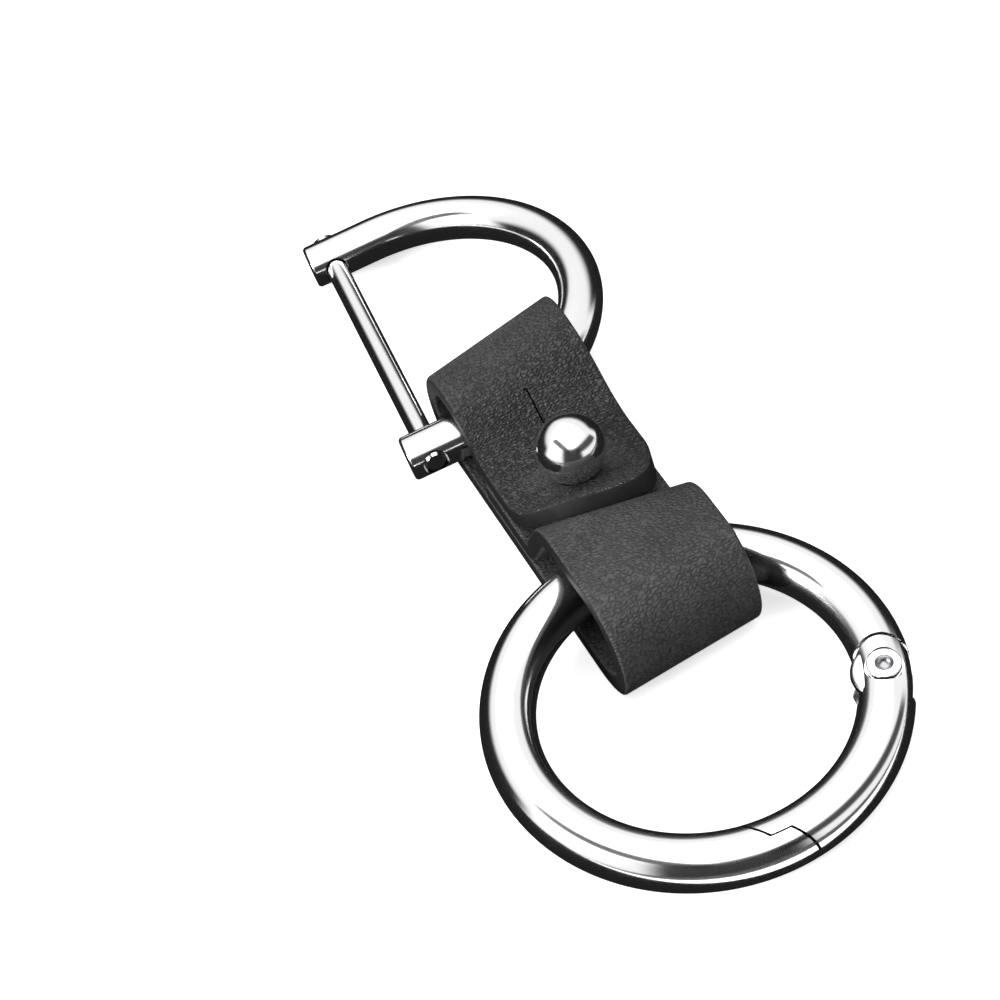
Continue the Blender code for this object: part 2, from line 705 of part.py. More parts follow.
def make_pin(frame):
    """The screw pin between the arms, its slotted head let into one arm."""
    half = SHACKLE_RADIUS + SHACKLE_ROD / 2 - PIN_INSET
    head_end = half - PIN_HEAD_LENGTH
    shank = PIN_DIAMETER / 2
    head = PIN_HEAD_DIAMETER / 2
    profile = [
        (0.0, half),
        (head - TURNED_EASE, half),
        (head, half - TURNED_EASE),
        (head, head_end),
        (shank, head_end),
        (shank, TURNED_EASE - half),
        (shank - TURNED_EASE, -half),
        (0.0, -half),
    ]
    pin = turned("shackle_pin", profile, frame, chrome, SMALL_STEPS)
    width, depth = PIN_SLOT
    slot = block((PIN_HEAD_DIAMETER + CUT_OVERRUN, width, 2 * depth), (0, 0, half))
    combine(pin, add_object("pin_slot", mesh_from(slot, "pin_slot"), frame), "DIFFERENCE")
    return pin


def chord(radius, centre_x, side_shift, hand):
    """Where a bent rod crosses the strap: (middle of its bow, direction of its chord), in the strap's frame."""
    ends = []
    for y in (-STRAP_WIDTH / 2, STRAP_WIDTH / 2):
        reach = sqrt(radius**2 - (y - side_shift) ** 2)
        ends.append(Vector((centre_x + hand * reach, y)))
    middle = (ends[0] + ends[1]) / 2
    way = (ends[1] - ends[0]).normalized()
    half = (ends[1] - ends[0]).length / 2
    bow = radius - sqrt(radius**2 - half**2)
    outward = Vector((way.y, -way.x)) * hand
    return middle + outward * bow / 2, hand * way


def place_on_floor(root):
    """Moves the part so that its box stands on z = 0, centred over the origin."""
    bpy.context.view_layer.update()
    graph = bpy.context.evaluated_depsgraph_get()
    low = Vector((1.0, 1.0, 1.0))
    high = -low
    for obj in parts.objects:
        if obj.type != "MESH":
            continue
        shape = obj.evaluated_get(graph)
        for vert in shape.data.vertices:
            place = shape.matrix_world @ vert.co
            low = Vector(map(min, low, place))
            high = Vector(map(max, high, place))
    root.location -= Vector(((low.x + high.x) / 2, (low.y + high.y) / 2, low.z))
    bpy.context.view_layer.update()
    size = (high - low) / MM
    print("size", [round(side, 2) for side in size], "mm")


def report_joint(name, frame, place, way):
    world = frame.matrix_world @ (Vector(place) * MM)
    turned_way = (frame.matrix_world.to_3x3() @ Vector(way)).normalized()
    print(name, [round(v, 6) for v in world], [round(v, 6) for v in turned_way])


clear_scene()
parts = new_collection("keychain")
cutters = new_collection("cutters")
leather = new_material("black_leather", (0.022, 0.022, 0.023), 0.55, 0.0)
chrome = new_material("polished_chrome", (0.78, 0.78, 0.79), 0.08, 1.0)
satin = new_material("satin_steel", (0.6, 0.6, 0.61), 0.3, 1.0)

root = new_frame("root_frame", (0, 0, 0))
strap_frame = new_frame("strap_frame", (0, 0, 0), None, root)
make_strap(strap_frame)
make_tab(strap_frame)
make_stud(strap_frame)
make_stud_screw(strap_frame)

ring_frame = new_frame(
    "ring_frame",
    (RING_X, RING_SIDE_SHIFT, RING_ROD / 2 + RING_RADIUS * sin(RING_TILT)),
    Matrix.Rotation(RING_TILT, 3, "Y"),
    root,
)
make_ring_body(ring_frame)
rivet_frame = new_frame("gate_frame", (*polar(RING_RADIUS, RIVET_ANGLE), 0), None, ring_frame)
ring_gate = make_gate(ring_frame)
make_rivet(rivet_frame, ring_gate)
make_spring_and_plunger(ring_frame, ring_gate)

shackle_frame = new_frame(
    "shackle_frame",
    (SHACKLE_X, SHACKLE_SIDE_SHIFT, SHACKLE_ROD / 2 + SHACKLE_END_DROP),
    Matrix.Rotation(-SHACKLE_TILT, 3, "Y")
    @ Matrix.Rotation(radians(SHACKLE_YAW - 90), 3, "Z")
    @ Matrix.Rotation(radians(SHACKLE_ROLL), 3, "X"),
    root,
)
make_shackle(shackle_frame)
pin_frame = new_frame(
    "pin_frame",
    (0, PIN_FROM_END - SHACKLE_ARM, 0),
    Matrix.Rotation(radians(-90), 3, "Y"),
    shackle_frame,
)
make_pin(pin_frame)

place_on_floor(root)
ring_place, ring_way = chord(RING_RADIUS, RING_X, RING_SIDE_SHIFT, -1)
shackle_place, shackle_way = chord(SHACKLE_RADIUS, SHACKLE_X, SHACKLE_SIDE_SHIFT, 1)
report_joint("tab_lift", strap_frame, (TAB_SPLIT_X, 0, tab_route()[0][1] + LEATHER / 2), (0, -1, 0))
report_joint("ring_swing", strap_frame, (*ring_place, RING_NEAR_Z + RING_AXIS_RISE), (*ring_way, 0))
report_joint("shackle_swing", strap_frame, (*shackle_place, SHACKLE_NEAR_Z + SHACKLE_AXIS_RISE), (*shackle_way, 0))
report_joint("gate_swing", rivet_frame, (0, 0, 0), (0, 0, -1))
report_joint("pin_slide", pin_frame, (0, 0, 0), (0, 0, 1))
report_joint("stud", strap_frame, (0, 0, 0), (0, 0, 1))
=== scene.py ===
# Leather keychain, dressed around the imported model. Lengths are millimetres until a piece is placed.
import json
import math

import bmesh
import bpy
from mathutils import Matrix, Vector


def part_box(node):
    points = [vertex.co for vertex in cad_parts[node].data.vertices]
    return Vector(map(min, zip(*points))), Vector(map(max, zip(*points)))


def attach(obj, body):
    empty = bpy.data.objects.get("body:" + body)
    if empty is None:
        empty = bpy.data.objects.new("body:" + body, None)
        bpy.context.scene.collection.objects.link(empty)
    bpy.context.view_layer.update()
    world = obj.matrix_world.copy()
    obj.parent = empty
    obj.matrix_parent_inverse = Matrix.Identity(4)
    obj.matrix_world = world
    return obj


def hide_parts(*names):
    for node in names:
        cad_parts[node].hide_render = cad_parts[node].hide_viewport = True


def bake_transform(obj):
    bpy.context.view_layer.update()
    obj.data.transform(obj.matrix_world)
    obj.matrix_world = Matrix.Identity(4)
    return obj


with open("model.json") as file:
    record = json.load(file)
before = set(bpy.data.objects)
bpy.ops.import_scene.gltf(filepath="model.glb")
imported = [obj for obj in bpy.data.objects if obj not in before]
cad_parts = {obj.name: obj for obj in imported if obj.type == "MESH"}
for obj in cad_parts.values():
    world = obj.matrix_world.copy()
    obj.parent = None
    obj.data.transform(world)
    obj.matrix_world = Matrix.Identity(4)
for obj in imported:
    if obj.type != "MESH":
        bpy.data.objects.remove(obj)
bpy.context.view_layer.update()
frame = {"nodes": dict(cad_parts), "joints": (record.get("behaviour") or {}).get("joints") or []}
mm = 0.001
joints = {joint["name"]: joint for joint in frame["joints"]}
print("frame loaded:", len(frame["nodes"]), "nodes")


def boxMiddle(nodeName):
    low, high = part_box(nodeName)
    return (low + high) / 2 / mm


strapOrigin = boxMiddle("ball_stud")  # the strap's own frame stands on the ball stud's axis
strapOrigin.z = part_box("strap")[0].z / mm
strapPlace = Matrix.Translation(strapOrigin)


# Shader maths written as expressions
class Wire:
    def __init__(self, tree, socket=None):
        self.tree = tree
        self.socket = socket

    def node(self, kind, settings, values, output=0):
        made = self.tree.nodes.new(kind)
        for name, value in settings.items():
            setattr(made, name, value)
        for key, value in values.items():
            if isinstance(value, Wire):
                self.tree.links.new(value.socket, made.inputs[key])
            else:
                made.inputs[key].default_value = value
        return Wire(self.tree, made.outputs[output])

    def maths(self, operation, first, second=0.0):
        return self.node("ShaderNodeMath", {"operation": operation}, {0: first, 1: second})

    def __add__(self, other):
        return self.maths("ADD", self, other)

    def __sub__(self, other):
        return self.maths("SUBTRACT", self, other)

    def __rsub__(self, other):
        return self.maths("SUBTRACT", other, self)

    def __mul__(self, other):
        return self.maths("MULTIPLY", self, other)

    __radd__ = __add__
    __rmul__ = __mul__

    def between(self, low, high):
        return self.node("ShaderNodeMapRange", {}, {0: self, 1: low, 2: high, 3: 0.0, 4: 1.0})

    def noise(self, vector, scale, detail=2.0, rough=0.5, output=0):
        values = {"Vector": vector, "Scale": scale, "Detail": detail, "Roughness": rough}
        return self.node("ShaderNodeTexNoise", {}, values, output)

    def blendColours(self, share, first, second):
        values = {0: share, 6: (*first, 1), 7: (*second, 1)}
        return self.node("ShaderNodeMix", {"data_type": "RGBA"}, values, 2)

    def bumped(self, height, distance):
        values = {"Strength": 1.0, "Distance": distance * mm, "Height": height}
        return self.node("ShaderNodeBump", {}, values)


def newMaterial(name, fixed):
    made = bpy.data.materials.new(name)
    made.use_nodes = True
    shader = made.node_tree.nodes["Principled BSDF"]
    for socket, value in fixed.items():
        shader.inputs[socket].default_value = value
    return made, Wire(made.node_tree), shader


def feed(wire, shader, socket):
    wire.tree.links.new(wire.socket, shader.inputs[socket])


# Leather grain: short pits that run across the strap, shallower on the lower layers and over the folds
grain = dict(
    dark=(0.008, 0.008, 0.0083),
    light=(0.052, 0.052, 0.053),
    cells=2.7,
    stretch=(1.5, 0.75, 1.0),
    wander=(1.6, 0.35),
    pitWidth=0.4,
    broken=0.7,
    fine=2.0,
    patches=0.25,
    depth=0.26,
    roughness=0.4,
    specular=0.3,
)
edgePaint = dict(
    dark=(0.006, 0.006, 0.006),
    light=(0.011, 0.011, 0.011),
    clouds=900.0,
    depth=0.02,
    roughness=0.42,
    specular=0.2,
)
metal = dict(
    clouds=260.0,
    waves=140.0,
    darkest=0.96,
)


def makeLeather(look):
    made, start, shader = newMaterial("leather grain", {"Specular IOR Level": look["specular"]})
    flat = start.node("ShaderNodeTexCoord", {}, {}, "UV")
    amount = start.node("ShaderNodeAttribute", {"attribute_name": "grain"}, {}, 2)
    often, far = look["wander"]
    bend = {0: start.noise(flat, often, 2.0, 0.5, 1), 1: (far, far, 0.0), 2: flat}
    shifted = start.node("ShaderNodeVectorMath", {"operation": "MULTIPLY_ADD"}, bend)
    stretched = start.node("ShaderNodeMapping", {}, {"Vector": shifted, "Scale": look["stretch"]})
    cells = {"Vector": stretched, "Scale": look["cells"], "Randomness": 1.0}
    wide = {"feature": "DISTANCE_TO_EDGE", "voronoi_dimensions": "2D"}
    ridge = start.node("ShaderNodeTexVoronoi", wide, cells).between(0.0, look["pitWidth"])
    broken = start.noise(stretched, look["cells"] * look["broken"], 2.0, 0.6).between(0.28, 0.52)
    pits = 1 - (1 - ridge) * broken
    fine = start.noise(stretched, look["cells"] * look["fine"], 2.0, 0.5)
    height = (pits * 0.8 + fine * 0.3) * amount
    feed(start.bumped(height, look["depth"]), shader, "Normal")
    patches = start.noise(flat, look["patches"], 3.0, 0.6)
    # the base colour is darker in the pits: painted shade in the grain's hollows, over a random patchy
    # tone
    patchesAndPitShade = patches.between(0.3, 0.7) * 0.3 + pits * 0.7
    feed(start.blendColours(patchesAndPitShade, look["dark"], look["light"]), shader, "Base Color")
    feed(look["roughness"] + 0.2 * (1 - pits) - 0.06 * patches, shader, "Roughness")
    return made


def makePaintedEdge(look):
    made, start, shader = newMaterial("painted edge", {"Specular IOR Level": look["specular"]})
    place = start.node("ShaderNodeTexCoord", {}, {}, "Object")
    soft = start.noise(place, look["clouds"], 3.0, 0.6)
    feed(start.blendColours(soft, look["dark"], look["light"]), shader, "Base Color")
    feed(look["roughness"] + 0.2 * soft, shader, "Roughness")
    feed(start.bumped(soft, look["depth"]), shader, "Normal")
    return made


def makeMetal(name, colour, roughness, wave):
    made, start, shader = newMaterial(name, {"Metallic": 1.0})
    place = start.node("ShaderNodeTexCoord", {}, {}, "Object")
    cloudy = start.noise(place, metal["clouds"], 3.0, 0.55)
    feed(roughness * (0.7 + 0.6 * cloudy), shader, "Roughness")
    feed(start.bumped(start.noise(place, metal["waves"], 1.0, 0.4), wave), shader, "Normal")
    darker = tuple(share * metal["darkest"] for share in colour)
    feed(start.blendColours(cloudy, darker, colour), shader, "Base Color")
    return made


leatherGrain = makeLeather(grain)
paintedEdge = makePaintedEdge(edgePaint)
brightChrome = makeMetal("bright chrome", (0.91, 0.91, 0.92), 0.13, 0.004)
# darker steel for the plunger and spring, and as painted shade in the rivet's dish
steelAndDishShade = makeMetal("steel and dish shade", (0.34, 0.34, 0.35), 0.26, 0.002)
print("materials made")


# Plan outlines and solids
overrun = 1.0  # how far a cutting tool reaches past what it cuts
ringSteps = 288
barSides = 64
turnedSteps = 96
onBar = dict(within=0.012, alike=0.9)  # how near a corner is to the round bar, in place and in direction


def polar(radius, angle):
    return Vector((radius * math.cos(math.radians(angle)), radius * math.sin(math.radians(angle))))


def arcRun(centre, radius, start, end, steps):
    middle = Vector(centre)
    return [middle + polar(radius, start + (end - start) * i / steps) for i in range(steps + 1)]


def curveRun(corners, steps):
    run = []
    for i in range(steps + 1):
        t = i / steps
        shares = ((1 - t) ** 3, 3 * t * (1 - t) ** 2, 3 * t * t * (1 - t), t**3)
        pulls = (share * Vector(corner) for share, corner in zip(shares, corners))
        run.append(sum(pulls, Vector((0, 0))))
    return run


def plateFrom(outline, half):
    bm = bmesh.new()
    bm.faces.new([bm.verts.new((point.x, point.y, -half)) for point in outline])
    grown = bmesh.ops.extrude_face_region(bm, geom=bm.faces[:])
    top = [v for v in grown["geom"] if isinstance(v, bmesh.types.BMVert)]
    bmesh.ops.translate(bm, vec=(0, 0, 2 * half), verts=top)
    bmesh.ops.recalc_face_normals(bm, faces=bm.faces)
    return bm


def rodFrom(radius, start, end, segments=64):
    bm = bmesh.new()
    start, end = Vector(start), Vector(end)
    turn = (end - start).to_track_quat("Z", "Y").to_matrix().to_4x4()
    place = Matrix.Translation((start + end) / 2) @ turn
    sizes = dict(radius1=radius, radius2=radius, depth=(end - start).length)
    bmesh.ops.create_cone(bm, cap_ends=True, segments=segments, matrix=place, **sizes)
    return bm


def uprightRod(radius, spot, low, high, segments=64):
    return rodFrom(radius, (*spot, low), (*spot, high), segments)


def blockFrom(size, centre, turn=0.0):
    bm = bmesh.new()
    turned = Matrix.Rotation(math.radians(turn), 3, "Z")
    bmesh.ops.create_cube(bm, size=1.0)
    bmesh.ops.scale(bm, vec=Vector(size), verts=bm.verts)
    bmesh.ops.rotate(bm, cent=(0, 0, 0), matrix=turned, verts=bm.verts)
    bmesh.ops.translate(bm, vec=Vector(centre), verts=bm.verts)
    return bm


def turnedFrom(profile, steps):
    bm = bmesh.new()
    line = [bm.verts.new((r, 0, z)) for r, z in profile]
    edges = [bm.edges.new(pair) for pair in zip(line, line[1:])]
    whole = dict(cent=(0, 0, 0), axis=(0, 0, 1), angle=2 * math.pi, steps=steps, use_merge=True)
    bmesh.ops.spin(bm, geom=line + edges, **whole)
    bmesh.ops.remove_doubles(bm, verts=bm.verts, dist=0.0005)
    bmesh.ops.recalc_face_normals(bm, faces=bm.faces)
    return bm


def bentBar(radius, bar, angle, steps):
    bm = bmesh.new()
    place = Matrix.Translation((radius, 0, 0)) @ Matrix.Rotation(math.radians(90), 4, "X")
    bmesh.ops.create_circle(bm, segments=barSides, radius=bar / 2, matrix=place)
    bend = dict(cent=(0, 0, 0), axis=(0, 0, 1), angle=angle, steps=steps)
    bmesh.ops.spin(bm, geom=bm.verts[:] + bm.edges[:], use_merge=angle > math.pi, **bend)
    return bm


def ringOfBar(radius, bar):
    bm = bentBar(radius, bar, 2 * math.pi, ringSteps)
    bmesh.ops.remove_doubles(bm, verts=bm.verts, dist=0.0005)
    bmesh.ops.recalc_face_normals(bm, faces=bm.faces)
    return bm


def barNormal(place, centre, bar, normal):
    away = place - centre
    way = away.normalized()
    near = abs(away.length - bar / 2) < onBar["within"]
    return way if near and way.dot(normal) > onBar["alike"] else (0, 0, 0)


def roughObject(name, bm):
    mesh = bpy.data.meshes.new(name)
    bm.to_mesh(mesh)
    bm.free()
    made = bpy.data.objects.new(name, mesh)
    bpy.context.scene.collection.objects.link(made)
    return made


def carve(bm, *steps):
    base = roughObject("carved", bm)
    tools = []
    for operation, tool in steps:
        tools.append(roughObject("tool", tool))
        cut = base.modifiers.new("cut", "BOOLEAN")
        cut.operation = operation
        cut.object = tools[-1]
    graph = bpy.context.evaluated_depsgraph_get()
    mesh = bpy.data.meshes.new_from_object(base.evaluated_get(graph))
    for spent in (base, *tools):
        bpy.data.objects.remove(spent, do_unlink=True)
    made = bmesh.new()
    made.from_mesh(mesh)
    bpy.data.meshes.remove(mesh)
    return made


def smoothPiece(name, bm, materials, sharp=40.0, surface=None):
    bmesh.ops.remove_doubles(bm, verts=bm.verts, dist=0.0005)
    piece = roughObject(name, bm)
    mesh = piece.data
    for material in materials:
        mesh.materials.append(material)
    mesh.shade_smooth()
    mesh.set_sharp_from_angle(angle=math.radians(sharp))
    if surface:  # true normals where the mesh lies on the round bar, so that reflections run clean
        normals = []
        for face in mesh.polygons:
            for corner in face.vertices:
                normals.append(surface(mesh.vertices[corner].co, face.normal))
        mesh.normals_split_custom_set(normals)
    return piece


def settle(piece, place, body, slot, *nodes):
    piece.data.transform(Matrix.Scale(mm, 4) @ place)
    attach(piece, body)
    if nodes:
        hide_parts(*nodes)
    return piece


# Folded leather: routes are (x, z) points in the strap's own frame
strap = dict(
    width=13.0,
    thick=1.8,
    edgeRound=0.3,
    rowStep=0.45,
    layerGap=0.1,
    endX=-5.2,
    upperX=-13.4,
    upperRoom=6.1,
    lowerX=15.9,
    lowerRoom=6.7,
    shoulderX=11.3,
    shoulderBend=3.9,
    rampAngle=54.0,
    footBend=2.5,
    leanX=(-11.0, -5.0, 2.0, 5.0, 12.0, 19.5),
    lean=(-0.245, 0.0, 0.0, 0.2, 0.2, -0.1),
    seamX=-12.2,  # hidden butt seam under the upper fold
)
tab = dict(
    tipX=5.6,
    tipLift=2.3,
    tipEase=0.55,
    liftX=0.0,
    flatX=-2.5,
    dropHandles=(6.2, 5.5),
    endDepth=5.7,
    slitStart=-9.0,
    slitWidth=0.16,
    tickReach=0.3,
    crestX=(-12.0, -8.5),  # the grain is stretched smooth over the fold
    flexReach=4.0,  # a length past the hinge line
)
stud = dict(
    ball=6.0,
    neck=3.4,
    flange=6.4,
    flangeThick=0.5,
    flangeRecess=0.35,
    ballSink=0.35,
    screwHead=7.0,
    screwThick=0.6,
    screwRecess=0.85,
    screwShank=2.0,
    screwReach=5.2,
    slot=(0.7, 0.35),
    ease=0.2,
    gap=0.2,
    boreGap=0.15,
)
bottomZ = strap["thick"] / 2
middleZ = bottomZ + strap["thick"] + strap["layerGap"]
middleTop = middleZ + strap["thick"] / 2
upperBend = (strap["upperRoom"] + strap["thick"]) / 2
lowerBend = (strap["lowerRoom"] + strap["thick"]) / 2
flangeTop = middleTop - stud["flangeRecess"] + stud["gap"] + stud["flangeThick"]
tabZ = flangeTop + stud["gap"] + strap["thick"] / 2
ballZ = tabZ + strap["thick"] / 2 + stud["ball"] / 2 - stud["ballSink"]


def oneRoute(*runs):
    route = []
    for point in (Vector(point) for run in runs for point in run):
        if not route or (point - route[-1]).length > 1e-6:
            route.append(point)
    return route


def strapRoute():
    lower = arcRun((strap["lowerX"], bottomZ + lowerBend), lowerBend, -90, 90, 64)
    top = bottomZ + 2 * lowerBend
    bend, foot, steep = strap["shoulderBend"], strap["footBend"], math.radians(strap["rampAngle"])
    shoulder = arcRun((strap["shoulderX"], top - bend), bend, 90, 90 + strap["rampAngle"], 32)
    fall = (bend + foot) * (1 - math.cos(steep))
    footX = shoulder[-1].x - (top - middleZ - fall) / math.tan(steep) - foot * math.sin(steep)
    toe = arcRun((footX, middleZ + foot), foot, strap["rampAngle"] - 90, -90, 28)
    return oneRoute([(strap["seamX"], bottomZ)], lower, shoulder, toe, [(strap["endX"], middleZ)])


def tabRoute():
    upper = arcRun((strap["upperX"], bottomZ + upperBend), upperBend, 270, 90, 64)
    over, into = tab["dropHandles"]
    crest = upper[-1]
    flat = tab["flatX"]
    handles = (crest + Vector((over, 0)), (flat - into, tabZ + strap["layerGap"]), (flat, tabZ))
    reach = tab["tipX"] - tab["liftX"]
    rise = (
        (tab["liftX"], tabZ),
        (tab["liftX"] + reach / 2, tabZ),
        (tab["tipX"] - reach / 4, tabZ + tab["tipLift"] * tab["tipEase"]),
        (tab["tipX"], tabZ + tab["tipLift"]),
    )
    drop = curveRun((crest, *handles), 96)
    return oneRoute([(strap["seamX"], bottomZ)], upper, drop, curveRun(rise, 48))


class Path:
    def __init__(self, points):
        self.points = points
        self.at = [0.0]
        for a, b in zip(points, points[1:]):
            self.at.append(self.at[-1] + (b - a).length)
        self.length = self.at[-1]

    def way(self, index):
        index = max(0, min(len(self.points) - 2, index))
        return (self.points[index + 1] - self.points[index]).normalized()

    def place(self, s):
        last = len(self.points) - 2
        low = max(0, min(last, next((i for i, a in enumerate(self.at) if a >= s), last + 1) - 1))
        share = (s - self.at[low]) / (self.at[low + 1] - self.at[low])
        before = (self.way(low - 1) + self.way(low)).normalized()
        after = (self.way(low) + self.way(low + 1)).normalized()
        way = before.lerp(after, min(max(share, 0.0), 1.0)).normalized()
        return self.points[low].lerp(self.points[low + 1], share), Vector((-way.y, way.x))

    def lastAtX(self, x):
        pairs = list(enumerate(zip(self.points, self.points[1:])))
        for i, (a, b) in reversed(pairs):
            if min(a.x, b.x) <= x <= max(a.x, b.x):
                return self.at[i] + (x - a.x) / (b.x - a.x) * (self.at[i + 1] - self.at[i])
        return self.length


def interpolate(value, stations, levels):
    if value <= stations[0]:
        return levels[0]
    for (a, b), (p, q) in zip(zip(stations, stations[1:]), zip(levels, levels[1:])):
        if value <= b:
            return p + (q - p) * (value - a) / (b - a)
    return levels[-1]


def flatStrip(length, endDepth=0.0):
    half = strap["width"] / 2
    outline = [Vector((0, half)), Vector((0, -half))]
    if endDepth:  # the tab ends in half an ellipse
        for point in arcRun((0, 0), 1, -90, 90, 64):
            outline.append(Vector((length - endDepth * (1 - point.x), half * point.y)))
    else:
        outline += [Vector((length, -half)), Vector((length, half))]
    return plateFrom(outline, strap["thick"] / 2)


def easeRim(bm):
    rim = [
        edge
        for edge in bm.edges
        if edge.calc_face_angle(0) > math.radians(60)
        and abs(edge.verts[0].co.z - edge.verts[1].co.z) < 1e-3
        and max(vert.co.x for vert in edge.verts) > 1e-3  # the hidden seam stays square
    ]
    easing = dict(offset=strap["edgeRound"], segments=4, profile=0.5, material=-1)
    bmesh.ops.bevel(bm, geom=rim, affect="EDGES", clamp_overlap=True, **easing)


def cutRows(bm, length):
    rows = math.ceil(length / strap["rowStep"])
    for i in range(1, rows):
        everything = bm.verts[:] + bm.edges[:] + bm.faces[:]
        row = dict(plane_co=(length * i / rows, 0, 0), plane_no=(1, 0, 0))
        bmesh.ops.bisect_plane(bm, geom=everything, dist=1e-5, **row)


def foldAlong(bm, path, grainAt):
    cutRows(bm, path.length)
    bm.normal_update()
    flatLayer = bm.loops.layers.uv.new("flat")
    for face in bm.faces:  # the paint takes in the last quarter of the rounding
        face.material_index = 1 if abs(face.normal.z) < 0.5 else 0
        for loop in face.loops:
            loop[flatLayer].uv = (loop.vert.co.x, loop.vert.co.y)
    grainLayer = bm.verts.layers.float.new("grain")
    for vert in bm.verts:
        s, y, h = vert.co
        here, up = path.place(s)
        vert[grainLayer] = grainAt(s)
        place = here + up * h
        vert.co = (place.x + y * interpolate(place.x, strap["leanX"], strap["lean"]), y, place.y)
    bmesh.ops.recalc_face_normals(bm, faces=bm.faces)


def makeStrap():
    path = Path(strapRoute())
    bm = flatStrip(path.length)
    easeRim(bm)
    folds = (0.0, path.lastAtX(strap["lowerX"]), path.length)
    foldAlong(bm, path, lambda s: interpolate(s, folds, (0.4, 0.25, 0.5)))
    reach = stud["neck"] / 2 + stud["gap"]
    recess = stud["screwHead"] / 2 + stud["gap"]
    seat = stud["flange"] / 2 + stud["gap"]
    low = -overrun
    high = tabZ - strap["thick"] / 2
    bm = carve(
        bm,
        ("DIFFERENCE", uprightRod(reach, (0, 0), low, high)),
        ("DIFFERENCE", uprightRod(recess, (0, 0), low, stud["screwRecess"])),
        ("DIFFERENCE", uprightRod(seat, (0, 0), middleTop - stud["flangeRecess"], high)),
    )
    piece = smoothPiece("leather_strap", bm, (leatherGrain, paintedEdge), 50)
    return settle(piece, strapPlace, "root", "black_leather", "strap")


def makeTab():
    path = Path(tabRoute())
    depth = path.length - path.lastAtX(tab["tipX"] - tab["endDepth"])
    bm = flatStrip(path.length, depth)
    hole = path.lastAtX(0.0)
    start = path.lastAtX(tab["slitStart"])
    easeRim(bm)
    width = tab["slitWidth"]
    tick = tab["tickReach"]
    tall = 4 * strap["thick"]
    bm = carve(
        bm,
        ("DIFFERENCE", blockFrom((hole - start, width, tall), ((hole + start) / 2, 0, 0))),
        ("DIFFERENCE", blockFrom((width, tick, tall), (start, -tick / 2, 0))),
    )
    crestRun = [path.lastAtX(x) for x in tab["crestX"]]
    foldAlong(bm, path, lambda s: interpolate(s, (0.0, *crestRun), (0.2, 0.35, 1.0)))
    reach = stud["neck"] / 2 + stud["gap"]
    alongNeck = uprightRod(reach, (0, 0), tabZ - strap["thick"], ballZ + stud["ball"])
    bm = carve(bm, ("DIFFERENCE", alongNeck))
    piece = smoothPiece("leather_tab", bm, (leatherGrain, paintedEdge), 50)
    piece.data.transform(Matrix.Scale(mm, 4) @ strapPlace)
    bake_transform(piece)
    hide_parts("strap_tab")
    return piece


makeStrap()
makeTab()
print("leather folded")


# Ball stud and the screw under it
def makeStud():
    ball, neck, flange = stud["ball"] / 2, stud["neck"] / 2, stud["flange"] / 2
    meet = math.degrees(math.acos(neck / ball))
    profile = [polar(ball, 90 - (90 + meet) * i / 56) + Vector((0, ballZ)) for i in range(57)]
    profile[0].x = 0.0
    low = flangeTop - stud["flangeThick"]
    profile += [(neck, flangeTop), (flange, flangeTop), (flange, low), (neck, low)]
    barrelLow = stud["screwRecess"] + stud["gap"]
    bore = stud["screwShank"] / 2 + stud["boreGap"]
    boreTop = stud["screwRecess"] + stud["screwReach"] + stud["gap"]
    profile += [(neck, barrelLow), (bore, barrelLow), (bore, boreTop), (0.0, boreTop)]
    piece = smoothPiece("snap_stud", turnedFrom(profile, turnedSteps), (brightChrome,))
    return settle(piece, strapPlace, "root", "polished_chrome", "ball_stud")


def makeScrew():
    head, shank, ease = stud["screwHead"] / 2, stud["screwShank"] / 2, stud["ease"]
    tip = stud["screwRecess"] + stud["screwReach"]
    top = stud["screwRecess"] - stud["gap"] / 2
    low = top - stud["screwThick"]
    profile = [(0.0, tip), (shank - ease, tip), (shank, tip - ease), (shank, top), (head, top)]
    rim = arcRun((head - ease, low + ease), ease, 0, -90, 6)
    profile += [*rim, (0.0, low)]
    width, depth = stud["slot"]
    slot = blockFrom((2 * head + overrun, width, 2 * depth), (0, 0, low))
    bm = carve(turnedFrom(profile, turnedSteps), ("DIFFERENCE", slot))
    piece = smoothPiece("snap_screw", bm, (brightChrome,), 30)
    return settle(piece, strapPlace, "root", "polished_chrome", "stud_screw")


makeStud()
makeScrew()
print("stud and screw turned")


# Spring gate ring, in its own frame about the middle of the ring
ring = dict(
    inner=25.0,
    bar=4.5,
    rivetAngle=66.0,
    lap=(1.0, -5.5),
    lapStep=0.3,
    lapReach=4.0,
    lapDraft=2.0,
    lapOuter=14.0,
    cheek=2.7,
    cheekSetback=0.7,
    cheekRound=0.55,
    forkRoom=0.4,
    gap=0.15,
    hingeGap=0.3,
    tongue=2.1,
    tongueThick=1.5,
    tongueRoot=20.0,
    rivetShank=1.4,
    rivetHead=2.8,
    rivetThick=0.35,
    rivetProud=0.1,
    rivetEase=0.15,
    dish=(1.5, 0.7),
    sink=0.25,
    bore=1.7,
    boreDepth=4.6,
)
ringRadius = (ring["inner"] + ring["bar"]) / 2
rivetSpot = polar(ringRadius, ring["rivetAngle"])
ringUp = -Vector(joints["gate_swing"]["axis"]).normalized()
ringAcross = Vector((0, 1, 0))
ringAlong = ringAcross.cross(ringUp)
ringTurn = Matrix((ringAlong, ringAcross, ringUp)).transposed()
ringMiddle = Vector(joints["gate_swing"]["pos_m"]) / mm - ringTurn @ rivetSpot.to_3d()
ringPlace = Matrix.Translation(ringMiddle) @ ringTurn.to_4x4()


def onRing(place, normal):
    centre = Vector((place.x, place.y, 0)).normalized() * ringRadius
    return barNormal(place, centre, ring["bar"], normal)


def rivetHole():
    radius = ring["rivetShank"] / 2 + ring["gap"]
    return uprightRod(radius, rivetSpot, -ring["bar"], ring["bar"])


def releasePoint(corner, reach):
    away = corner - rivetSpot
    inward = math.degrees(math.atan2(-away.x, away.y)) + ring["lapDraft"]
    return corner + polar(reach, inward)


